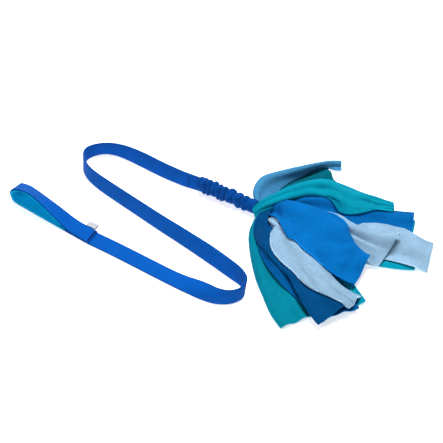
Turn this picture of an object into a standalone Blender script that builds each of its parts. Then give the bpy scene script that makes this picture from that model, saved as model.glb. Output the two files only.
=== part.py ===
"""Fleece bungee tug toy: a webbing lead with a lined handle, a ruched bungee and a mop of fleece tails.

Everything lies on the floor plane z = 0. The lead runs from the handle in an S to the bungee, and the
mop fans out along +X. Lengths in the tables are millimetres about DATUM, angles are degrees.
"""
import math

import bmesh
import bpy
from mathutils import Matrix, Vector

MM = 0.001
DATUM = Vector((60.0, 143.0, 0.0))

WEB_WIDTH = 22.0
WEB_THICK = 2.0
LINING_THICK = 1.0
LINING_INSET = 0.8
FLEECE_THICK = 2.4
GAP = 0.4
FLOOR_CLEARANCE = 0.1

SEAM_X = -38.0
HANDLE_Y = -144.0
HANDLE_LENGTH = 123.0
HANDLE_YAW = -4.0
HANDLE_LOW = 3.4
HANDLE_RISE = 14.0
HANDLE_TIP = 16.0
HANDLE_TIP_AT_END = 8.0
LABEL_FROM_SEAM = 6.0
LABEL_WIDTH = 13.0

THREAD_THICK = 0.6
SEAM_TACK = (1.4, 19.0)
SEAM_TACK_FROM_SEAM = 3.0
BUNGEE_TACK = (0.9, 18.0)
BUNGEE_TACK_X = 9.0
BUNGEE_TACK_Y = -8.2
BUNGEE_TACK_LEAN = -8.0

BUNGEE_START = 27.5
BUNGEE_END = 101.0
BUNGEE_WALL = 1.4
PLEATS = 8
PLEAT_DEPTH = 0.9
PLEAT_STEPS = 4
RUCHED_SHARE = 0.9
CORE_RADIUS = 2.6
CORE_MARGIN = 0.6

KNOT_X = 116.0
KNOT_RADIUS = 9.0
KNOT_BASE = 0.6
KNOT_TOP = 17.5
KNOT_WAIST = 0.8
BINDING_RADIUS = 10.6
BINDING_Z = 8.8
CORD_RADIUS = 1.0
TAB_START = 101.4
TAB_END = 103.4
TAB_Z = 8.8
TAB_HEIGHT = 12.0
TAB_TACK = (0.8, 10.0)

ROYAL = (0.004, 0.130, 0.510)
BUNGEE_BLUE = (0.003, 0.085, 0.430)
FLEECE_BLUE = (0.003, 0.150, 0.560)
TURQUOISE = (0.002, 0.310, 0.440)
PALE_BLUE = (0.330, 0.520, 0.760)
NAVY = (0.004, 0.012, 0.180)
LABEL_WHITE = (0.850, 0.850, 0.860)

# The lead's lower edge, from the handle seam to the bungee: x, y, lean of the lower and of the upper
# half of the webbing, where 0 lies flat to the left of the way along it and 90 stands on its edge.
LEAD_ROUTE = [
    (-37.0, -155, 0, 0),
    (0, -155, 0, 0),
    (40, -156, 0, 0),
    (80, -157, 4, 0),
    (105, -157, 24, 4),
    (124, -156, 60, 16),
    (140, -153, 80, 48),
    (152, -147, 84, 76),
    (160, -139, 88, 86),
    (164, -128, 92, 92),
    (160, -117, 98, 98),
    (150, -112, 106, 108),
    (134, -109, 114, 117),
    (98, -102, 117, 119),
    (58, -95, 112, 114),
    (20, -89, 108, 110),
    (-21, -82, 106, 107),
    (-62, -75, 104, 105),
    (-86, -70, 102, 102),
    (-103, -64, 98, 98),
    (-116, -55, 94, 94),
    (-124, -44, 91, 91),
    (-126, -34, 91, 91),
    (-122, -23, 95, 95),
    (-113, -14, 96, 96),
    (-100, -9, 91, 91),
    (-82, -8, 82, 82),
    (-58, -9, 76, 76),
    (-30, -10, 77, 77),
    (0, -9, 80, 80),
    (26, -5, 86, 86),
]

# Fleece tails: name, colour, stations x, y, height, heading, roll and width, from the knot to the tip.
TAILS = [
    ("tail_01_turquoise", TURQUOISE, [
        (114, -14, 3.0, -95, 0, 9), (121, -29, 2.0, -72, 0, 22), (149, -54, 1.4, -56, 0, 38),
        (184, -81, 1.4, -52, 0, 46), (212, -104, 1.4, -50, 0, 46), (240, -129, 1.4, -46, 0, 42)]),
    ("tail_02_turquoise", TURQUOISE, [
        (126, -9, 3.0, -45, 0, 9), (141, -16, 1.6, -28, 0, 18), (173, -26, 1.4, -18, 0, 28),
        (210, -40, 1.4, -22, 0, 38), (244, -59, 1.4, -27, 0, 48), (275, -79, 1.4, -28, 0, 52)]),
    ("tail_03_turquoise", TURQUOISE, [
        (127, 6, 3.0, 28, 0, 9), (142, 14, 1.6, 28, 0, 18), (172, 29, 1.4, 24, 0, 32),
        (208, 43, 1.4, 18, 0, 44), (244, 54, 1.4, 18, 0, 50), (281, 68, 1.4, 20, 0, 48)]),
    ("tail_04_turquoise", TURQUOISE, [
        (118, 13, 3.0, 80, 0, 9), (122, 28, 1.6, 70, 0, 18), (130, 50, 1.4, 68, 0, 30),
        (139, 74, 1.4, 62, 0, 38), (149, 95, 1.4, 52, 0, 42)]),
    ("tail_05_blue", FLEECE_BLUE, [
        (121, -13, 6.6, -68, 0, 9), (134, -29, 5.2, -50, 0, 20), (162, -55, 5.0, -38, 0, 34),
        (200, -71, 5.0, -26, 0, 44), (238, -80, 5.0, -26, 0, 48), (272, -92, 5.0, -34, 0, 48)]),
    ("tail_06_turquoise", TURQUOISE, [
        (129, -1, 6.6, -4, 0, 9), (146, 0, 5.2, 8, 0, 20), (180, 8, 5.0, 14, 0, 32),
        (220, 21, 5.0, 8, 0, 42), (254, 26, 5.0, -16, 0, 48), (282, 14, 5.0, -46, 0, 50)]),
    ("tail_07_blue", FLEECE_BLUE, [
        (125, 10, 6.6, 55, 0, 9), (136, 24, 5.2, 48, 0, 18), (158, 47, 5.0, 40, 0, 28),
        (186, 68, 5.0, 30, 0, 34), (220, 84, 5.0, 20, 0, 36)]),
    ("tail_08_blue", FLEECE_BLUE, [
        (115, -14, 10.2, -90, 0, 9), (122, -27, 9.2, -66, 0, 20), (149, -49, 9.0, -48, 0, 34),
        (182, -69, 9.0, -36, 0, 46), (220, -84, 9.0, -30, 0, 50), (266, -103, 9.0, -27, 0, 46)]),
    ("tail_09_pale", PALE_BLUE, [
        (128, -6, 10.2, -22, 0, 9), (143, -10, 9.2, -10, 0, 20), (174, -14, 9.0, -4, 0, 34),
        (212, -15, 9.0, -2, 0, 44), (250, -18, 9.0, -6, 0, 50)]),
    ("tail_10_blue", FLEECE_BLUE, [
        (127, 7, 10.2, 35, 0, 9), (141, 17, 9.2, 33, 0, 20), (170, 35, 9.0, 28, 0, 36),
        (206, 53, 9.0, 26, 0, 46), (240, 70, 9.0, 24, 0, 48), (268, 83, 9.0, 18, 0, 42)]),
    ("tail_11_pale", PALE_BLUE, [
        (128, 3, 13.8, 16, 0, 9), (144, 9, 13.0, 20, 0, 20), (176, 22, 12.8, 18, 0, 32),
        (214, 32, 12.8, 12, 0, 42), (252, 37, 12.8, 6, 0, 50), (286, 39, 12.0, 4, 0, 52),
        (316, 43, 10.0, 6, 0, 50)]),
    ("tail_12_pale", PALE_BLUE, [
        (121, -13, 13.8, -68, 0, 9), (132, -24, 13.0, -46, 0, 18), (157, -37, 12.8, -30, 0, 28),
        (188, -52, 12.8, -24, 0, 36), (224, -63, 12.8, -16, 0, 40), (256, -69, 12.8, -10, 0, 34),
        (283, -73, 12.8, -10, 0, 30)]),
    ("tail_13_pale", PALE_BLUE, [
        (129, 1, 17.4, 6, 0, 9), (146, 4, 18.0, 12, 0, 18), (178, 12, 19.0, 14, 0, 30),
        (212, 19, 18.6, 8, 0, 40), (250, 20, 18.0, -4, 4, 46), (282, 16, 17.6, -10, 4, 42)]),
    ("tail_14_turquoise", TURQUOISE, [
        (113, -4, 20.0, 56, 0, 12), (120, 9, 22.0, 58, 6, 16), (133, 24, 27.0, 50, 14, 20),
        (152, 40, 31.0, 36, 16, 28), (176, 54, 30.0, 26, 16, 32), (202, 64, 21.0, 24, 10, 32),
        (232, 81, 13.0, 30, 0, 26)]),
    ("tail_15_blue", FLEECE_BLUE, [
        (110, 14, 11.0, 118, 30, 10), (103, 25, 16.0, 98, 52, 16), (108, 42, 18.0, 72, 62, 21),
        (123, 66, 18.0, 60, 62, 22), (141, 93, 14.0, 56, 50, 22), (160, 121, 8.0, 52, 24, 18)]),
    ("tail_16_blue", FLEECE_BLUE, [
        (128, -5, 21.5, -14, 0, 9), (142, -2, 31.0, 4, 0, 24), (164, 0, 35.0, -8, 0, 42),
        (192, -9, 33.0, -22, 0, 52), (220, -22, 28.0, -26, 0, 54), (246, -31, 23.0, -22, 0, 54),
        (268, -34, 19.0, -14, 0, 52)]),
]


def clear_scene():
    for obj in list(bpy.data.objects):
        bpy.data.objects.remove(obj, do_unlink=True)


def new_collection(name):
    collection = bpy.data.collections.new(name)
    bpy.context.scene.collection.children.link(collection)
    return collection


def fabric(name, colour, roughness):
    material = bpy.data.materials.new(name)
    material.use_nodes = True
    shader = material.node_tree.nodes["Principled BSDF"]
    shader.inputs["Base Color"].default_value = (*colour, 1.0)
    shader.inputs["Roughness"].default_value = roughness
    shader.inputs["Metallic"].default_value = 0.0
    return material


def smooth_route(stations, steps):
    """Catmull-Rom curve through the stations, every column of the table alike."""
    last = len(stations) - 1
    rows = []
    for i in range(last):
        a = stations[max(i - 1, 0)]
        b = stations[i]
        c = stations[i + 1]
        d = stations[min(i + 2, last)]
        for k in range(steps):
            t = k / steps
            rows.append([catmull_rom(p, q, r, s, t) for p, q, r, s in zip(a, b, c, d)])
    rows.append([float(value) for value in stations[last]])
    return rows


def catmull_rom(a, b, c, d, t):
    slope = 0.5 * (c - a) * t
    bend = 0.5 * (2 * a - 5 * b + 4 * c - d) * t * t
    turn = 0.5 * (3 * b - a - 3 * c + d) * t * t * t
    return b + slope + bend + turn


def loft(name, rings, material, collection, closed=False):
    """One closed body through rings of equal length, capped at both ends unless it closes on itself."""
    mesh = bmesh.new()
    rows = [[mesh.verts.new((point + DATUM) * MM) for point in ring] for ring in rings]
    count = len(rows[0])
    pairs = list(zip(rows[:-1], rows[1:]))
    if closed:
        pairs.append((rows[-1], rows[0]))
    for near, far in pairs:
        for j in range(count):
            k = (j + 1) % count
            mesh.faces.new((near[j], near[k], far[k], far[j]))
    if not closed:
        mesh.faces.new(list(reversed(rows[0])))
        mesh.faces.new(rows[-1])
    return finish_mesh(name, mesh, material, collection)


def finish_mesh(name, mesh, material, collection):
    bmesh.ops.triangulate(mesh, faces=mesh.faces[:])
    bmesh.ops.recalc_face_normals(mesh, faces=mesh.faces[:])
    if mesh.calc_volume(signed=True) < 0.0:
        bmesh.ops.reverse_faces(mesh, faces=mesh.faces[:])
    data = bpy.data.meshes.new(name)
    mesh.to_mesh(data)
    mesh.free()
    data.materials.append(material)
    obj = bpy.data.objects.new(name, data)
    collection.objects.link(obj)
    return obj


def tangents(points):
    last = len(points) - 1
    return [(points[min(i + 1, last)] - points[max(i - 1, 0)]).normalized() for i in range(last + 1)]


def strap_ring(line, ways, thick):
    """Outline of a strap's cross-section along a bent line of points, thickened both ways."""
    up = [point + way * (thick / 2) for point, way in zip(line, ways)]
    down = [point - way * (thick / 2) for point, way in zip(line, ways)]
    return up + down[::-1]


def lead_rings():
    rows = smooth_route(LEAD_ROUTE, 3)
    flat = [Vector((row[0], row[1], 0.0)) for row in rows]
    rings = []
    for row, point, way in zip(rows, flat, tangents(flat)):
        left = Vector((-way.y, way.x, 0.0))
        low = lean_direction(left, row[2])
        high = lean_direction(left, row[3])
        clearance = FLOOR_CLEARANCE + abs(low.dot(left)) * WEB_THICK / 2
        start = point + Vector((0.0, 0.0, clearance))
        middle = start + low * (WEB_WIDTH / 2)
        end = middle + high * (WEB_WIDTH / 2)
        sides = [low, (low + high).normalized(), high]
        rings.append(strap_ring([start, middle, end], [side.cross(way) for side in sides], WEB_THICK))
    return rings


def lean_direction(left, angle):
    lean = math.radians(angle)
    return left * math.cos(lean) + Vector((0.0, 0.0, math.sin(lean)))


def make_lead(collection):
    return loft("lead_webbing", lead_rings(), fabric("royal_webbing", ROYAL, 0.75), collection)


def handle_profile(inset):
    """The loop's side view, from the seam out along the floor and back on top, moved inwards."""
    length = HANDLE_LENGTH
    base = [
        (0.0, 1.0), (-30.0, 1.0), (-60.0, 1.0), (-90.0, 1.2), (10.0 - length, 1.8), (3.0 - length, 4.2),
        (-length, 9.0), (3.0 - length, 14.0), (10.0 - length, 16.8), (20.0 - length, 18.6),
        (-90.0, 17.0), (-60.0, 11.0), (-42.0, 6.4), (-28.0, 3.8), (-14.0, HANDLE_LOW), (0.0, HANDLE_LOW)]
    rows = smooth_route(base, 3)
    line = [Vector((row[0], 0.0, row[1])) for row in rows]
    inwards = [Vector((-way.z, 0.0, way.x)) for way in tangents(line)]
    return [point - way * inset for point, way in zip(line, inwards)], inwards


def handle_tip(point, across):
    """How far the upper limb's near edge is tipped up, less so around the loop's end."""
    from_end = min(max((point.x + HANDLE_LENGTH) / 35.0, 0.0), 1.0)
    most = HANDLE_TIP_AT_END + (HANDLE_TIP - HANDLE_TIP_AT_END) * from_end
    raised = min(max((point.z - HANDLE_LOW) / HANDLE_RISE, 0.0), 1.0)
    return most * raised * (0.5 - across / WEB_WIDTH)


def handle_point(point, across, lift):
    """From the loop's side view to the floor, lifted and turned by the handle's yaw about its seam."""
    yaw = math.radians(HANDLE_YAW)
    x = SEAM_X - 2 * GAP + point.x * math.cos(yaw) + across * math.sin(yaw)
    y = HANDLE_Y + point.x * math.sin(yaw) + across * math.cos(yaw)
    return Vector((x, y, point.z + lift))


def handle_strip(name, inset, half_width, thick, first, last, material, collection):
    line, inwards = handle_profile(inset)
    corners = [(thick / 2, -half_width), (thick / 2, half_width), (-thick / 2, half_width),
               (-thick / 2, -half_width)]
    rings = []
    for point, way in list(zip(line, inwards))[first:last]:
        strap = point + way * inset
        rings.append([handle_point(point + way * out, across, handle_tip(strap, across))
                      for out, across in corners])
    return loft(name, rings, material, collection)


def make_handle(collection):
    webbing = fabric("handle_webbing_blue", ROYAL, 0.75)
    handle_strip("handle_webbing", 0.0, WEB_WIDTH / 2, WEB_THICK, 0, None, webbing, collection)
    inset = (WEB_THICK + LINING_THICK) / 2 + GAP
    half_width = WEB_WIDTH / 2 - LINING_INSET
    lining = fabric("lining_turquoise", TURQUOISE, 0.85)
    handle_strip("handle_lining", inset, half_width, LINING_THICK, 6, -9, lining, collection)


def make_box(name, centre, size, material, collection, tilt=0.0):
    """A box about its centre, tilted by degrees about the X axis."""
    mesh = bmesh.new()
    bmesh.ops.create_cube(mesh, size=1.0)
    turn = Matrix.Rotation(math.radians(tilt), 3, "X")
    for vert in mesh.verts:
        scaled = Vector(c * s for c, s in zip(vert.co, size))
        vert.co = (turn @ scaled + Vector(centre) + DATUM) * MM
    return finish_mesh(name, mesh, material, collection)


def make_stitching(collection):
    thread = fabric("navy_thread", NAVY, 0.6)
    above = HANDLE_LOW + (WEB_THICK + THREAD_THICK) / 2 + GAP
    seam = (SEAM_X - SEAM_TACK_FROM_SEAM, HANDLE_Y, above)
    make_box("handle_stitching", seam, (*SEAM_TACK, THREAD_THICK), thread, collection)
    blue = fabric("blue_thread", ROYAL, 0.6)
    face = (BUNGEE_TACK_X, BUNGEE_TACK_Y, WEB_WIDTH / 2)
    size = (BUNGEE_TACK[0], THREAD_THICK, BUNGEE_TACK[1])
    make_box("bungee_stitching", face, size, blue, collection, tilt=BUNGEE_TACK_LEAN)


def make_label(collection):
    """A blank folded ribbon, its two ends in the seam and its fold outwards."""
    white = fabric("label_ribbon", LABEL_WHITE, 0.7)
    inner = HANDLE_Y + WEB_WIDTH / 2 + 4 * GAP
    profile = [(0.0, 1.4), (7.6, 1.4), (8.4, 1.9), (8.4, 2.7), (7.6, 3.2), (0.0, 3.2),
               (0.0, 2.6), (7.2, 2.6), (7.6, 2.3), (7.2, 2.0), (0.0, 2.0)]
    rings = []
    for x in (SEAM_X - LABEL_FROM_SEAM - LABEL_WIDTH, SEAM_X - LABEL_FROM_SEAM):
        rings.append([Vector((x, inner + out, height)) for out, height in profile])
    return loft("label_tag", rings, white, collection)


def sleeve_ring(x, half_height, half_width, centre, sides=16):
    ring = []
    for k in range(sides):
        angle = 2.0 * math.pi * k / sides
        offset = Vector((0.0, half_width * math.cos(angle), half_height * math.sin(angle)))
        ring.append(Vector((x, 0.0, 0.0)) + centre + offset)
    return ring


def sleeve_size(t):
    """Half height and half width along the bungee, without its pleats, and its centre."""
    half_height = 10.6 - 2.4 * t
    half_width = 7.0 + 0.4 * t
    centre = Vector((0.0, -4.0 + 4.0 * t, 12.2 - 2.4 * t))
    return half_height, half_width, centre


def sleeve_places():
    """Shares of the bungee's length at which it has a ring: close over its pleats, wide at its end."""
    steps = PLEATS * PLEAT_STEPS
    ruched = [RUCHED_SHARE * k / steps for k in range(steps + 1)]
    smooth = [RUCHED_SHARE + (1.0 - RUCHED_SHARE) * k / PLEAT_STEPS for k in range(1, PLEAT_STEPS + 1)]
    return ruched + smooth


def make_bungee(collection):
    cloth = fabric("bungee_sleeve_blue", BUNGEE_BLUE, 0.8)
    length = BUNGEE_END - BUNGEE_START
    inset = BUNGEE_WALL + PLEAT_DEPTH
    outer = []
    inner = []
    for t in sleeve_places():
        half_height, half_width, centre = sleeve_size(t)
        turns = PLEATS * min(t / RUCHED_SHARE, 1.0)
        pleat = PLEAT_DEPTH * math.sin(2.0 * math.pi * turns - math.pi / 2)
        x = BUNGEE_START + length * t
        outer.append(sleeve_ring(x, half_height + pleat, half_width + pleat, centre))
        inner.append(sleeve_ring(x, half_height - inset, half_width - inset, centre))
    loft("bungee_sleeve", outer + inner[::-1], cloth, collection, closed=True)
    rubber = fabric("elastic_cord", (0.02, 0.03, 0.09), 0.6)
    rings = []
    for k in range(9):
        t = k / 8
        centre = sleeve_size(t)[2]
        x = BUNGEE_START + CORE_MARGIN + (length - 2 * CORE_MARGIN) * t
        rings.append(sleeve_ring(x, CORE_RADIUS, CORE_RADIUS, centre, sides=10))
    loft("bungee_elastic", rings, rubber, collection)


def make_anchor(collection):
    """The webbing tab on the end of the bungee that carries the mop, and its row of stitches."""
    webbing = fabric("anchor_webbing_blue", ROYAL, 0.75)
    middle = (TAB_START + TAB_END) / 2
    make_box("anchor_tab", (middle, 0.0, TAB_Z), (TAB_END - TAB_START, WEB_THICK, TAB_HEIGHT), webbing,
             collection)
    thread = fabric("tab_thread", NAVY, 0.6)
    stitch_y = -(WEB_THICK + THREAD_THICK) / 2 - GAP
    size = (TAB_TACK[0], THREAD_THICK, TAB_TACK[1])
    make_box("anchor_stitching", (middle, stitch_y, TAB_Z), size, thread, collection)


def circle(centre, radius, sides):
    """A level circle of points about a centre."""
    turns = [2.0 * math.pi * k / sides for k in range(sides)]
    return [centre + Vector((radius * math.cos(a), radius * math.sin(a), 0.0)) for a in turns]


def make_knot(collection):
    """The folded middles of the strips, bunched into a short post, and the cord that binds them."""
    blue = fabric("knot_fleece_blue", FLEECE_BLUE, 0.95)
    steps = 8
    rings = []
    for k in range(steps + 1):
        radius = KNOT_RADIUS * (KNOT_WAIST + (1.0 - KNOT_WAIST) * math.sin(math.pi * k / steps))
        height = KNOT_BASE + (KNOT_TOP - KNOT_BASE) * k / steps
        rings.append(circle(Vector((KNOT_X, 0.0, height)), radius, 20))
    loft("fleece_knot", rings, blue, collection)


def make_binding(collection):
    """A cord ring round the post."""
    navy = fabric("binding_cord_navy", NAVY, 0.7)
    sides = 8
    rings = []
    for k in range(sides):
        angle = 2.0 * math.pi * k / sides
        radius = BINDING_RADIUS + CORD_RADIUS * math.cos(angle)
        height = BINDING_Z + CORD_RADIUS * math.sin(angle)
        rings.append(circle(Vector((KNOT_X, 0.0, height)), radius, 28))
    loft("binding_cord", rings, navy, collection, closed=True)


def tail_rings(stations):
    rows = smooth_route(stations, 3)
    points = [Vector(row[:3]) for row in rows]
    rings = []
    for row, point, way in zip(rows, points, tangents(points)):
        heading = math.radians(row[3])
        roll = math.radians(row[4])
        left = Vector((-math.sin(heading), math.cos(heading), 0.0))
        side = left * math.cos(roll) + Vector((0.0, 0.0, math.sin(roll)))
        face = way.cross(side).normalized()
        line = [point + side * (row[5] * part) for part in (-0.5, 0.5)]
        rings.append(strap_ring(line, [face, face], FLEECE_THICK))
    return rings


def make_tails(collection):
    for name, colour, stations in TAILS:
        loft(name, tail_rings(stations), fabric(name + "_fleece", colour, 0.95), collection)


def build():
    clear_scene()
    toy = new_collection("fleece_tug_toy")
    make_lead(toy)
    make_handle(toy)
    make_stitching(toy)
    make_label(toy)
    make_bungee(toy)
    make_anchor(toy)
    make_binding(toy)
    make_knot(toy)
    make_tails(toy)


build()
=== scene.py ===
"""Looks of the fleece bungee tug toy: webbing lead, lined loop handle, ruched bungee and mop of tails.

Tables are millimetres about DATUM, as the part's own tables are, and angles are degrees.
"""

import math

import bpy
import numpy as np
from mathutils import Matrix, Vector, noise


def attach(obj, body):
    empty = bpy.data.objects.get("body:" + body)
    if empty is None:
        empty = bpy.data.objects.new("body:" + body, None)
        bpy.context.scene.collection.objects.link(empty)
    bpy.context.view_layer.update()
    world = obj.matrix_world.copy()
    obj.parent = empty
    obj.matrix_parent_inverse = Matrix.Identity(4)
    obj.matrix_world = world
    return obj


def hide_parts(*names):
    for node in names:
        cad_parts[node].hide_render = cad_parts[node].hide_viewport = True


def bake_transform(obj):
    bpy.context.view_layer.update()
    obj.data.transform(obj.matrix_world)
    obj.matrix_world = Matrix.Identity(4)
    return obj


MM = 0.001
DATUM = np.array([60.0, 143.0, 0.0])

CAMERA_TARGET = (0.135307, 0.108061, 0.0)
CAMERA_AZIMUTH = 33.0
CAMERA_ELEVATION = 45.0
CAMERA_DISTANCE = 2.0
CAMERA_LENS = 134.0
LIGHT_TARGET = (0.15, 0.12, 0.0)

WEB_WIDTH = 22.0
WEB_THICK = 2.0
LINING_THICK = 1.0
FLOOR_CLEARANCE = 0.1
SEAM_X = -38.8
HANDLE_Y = -144.0
HANDLE_LENGTH = 123.0
HANDLE_YAW = -4.0
HANDLE_TIP = 16.0
KNOT_X = 116.0
AXIS_HEIGHT = 8.8
FLEECE_THICK = 2.4

# How far the lining sits from the strap's middle, how far it passes each edge, and the rows of the loop's
# side view that it covers.
LINING_INSET = 1.9
LINING_MARGIN = 0.7
LINING_ROWS = (7, -18)
# The loop's tip grows from nothing at TIP_FROM above the floor to all of it TIP_RISE higher.
TIP_FROM = 3.4
TIP_RISE = 14.0

# The bungee. VALLEYS are the folds between its gathers, and they, RUCHED_TO and the stretching part are
# measured from its start. The bore is a share of the sleeve's section.
BUNGEE_START = 27.5
BUNGEE_END = 101.0
VALLEYS = (0.0, 7.5, 14.0, 20.5, 27.0, 35.0, 45.5, 56.5, 66.0, 75.5)
RUCHED_TO = 66.0
SLEEVE_BORE = 0.62
CORE_LENGTH = 72.3

# The height map that the tails are laid on: its cell, its low corner and its cells each way.
CELL = 1.5
MAP_LOW = np.array([80.0, -160.0])
MAP_SIZE = (180, 220)
# A tail's points across, and the distance between its rows.
COLUMNS = 33
ROW_SPACING = 2.6
# Within KNOT_NEAR of the knot's middle a tail may sink into those under it. KNOT_FADE further out it
# lies on them.
KNOT_NEAR = 30.0
KNOT_FADE = 18.0

ROYAL = (0.001, 0.082, 0.390)
NAVY = (0.004, 0.016, 0.150)
BUNGEE_BLUE = (0.001, 0.050, 0.235)
LINING = (0.003, 0.440, 0.720)
FLEECE_BLUE = (0.001, 0.124, 0.400)
TURQUOISE = (0.001, 0.225, 0.325)
PALE_BLUE = (0.250, 0.405, 0.555)
# Painted sheen: a greyer, paler blue for the grazing light on tail 15's face, whose fleece is the blue of
# the others.
PAINTED_SHEEN_BLUE = (0.045, 0.205, 0.390)
ELASTIC_NAVY = (0.01, 0.02, 0.09)
# The label is a white ribbon: its face's grey and its edge's near black are painted shade.
LABEL_WHITE_PAINTED_SHADE = (0.42, 0.44, 0.49)
LABEL_EDGE_PAINTED_SHADE = (0.10, 0.10, 0.12)

# x and y of the strap's right or lower edge, then the lean of its lower and its upper half: 0 lies flat
# and 90 stands.
LEAD_ROUTE = [
    (-38.3, -155, 0, 0), (0, -155, 0, 0), (40, -156, 0, 0), (80, -157, 4, 0), (105, -157, 24, 4),
    (124, -156, 60, 16), (140, -153, 80, 48), (152, -147, 84, 76), (160, -139, 88, 86),
    (164, -128, 92, 92), (160, -117, 98, 98), (150, -112, 106, 108), (134, -109, 114, 117),
    (98, -102, 117, 119), (58, -95, 112, 114), (20, -89, 108, 110), (-21, -82, 106, 107),
    (-62, -75, 104, 105), (-86, -70, 102, 102), (-103, -64, 98, 98), (-116, -55, 94, 94),
    (-124, -44, 91, 91), (-126, -34, 91, 91), (-122, -23, 95, 95), (-113, -14, 96, 96),
    (-100, -9, 91, 91), (-82, -8, 82, 82), (-58, -9, 76, 76), (-30, -10, 77, 77), (0, -9, 80, 80),
    (19, -6, 84, 84), (28, -5, 86, 86)]
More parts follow.
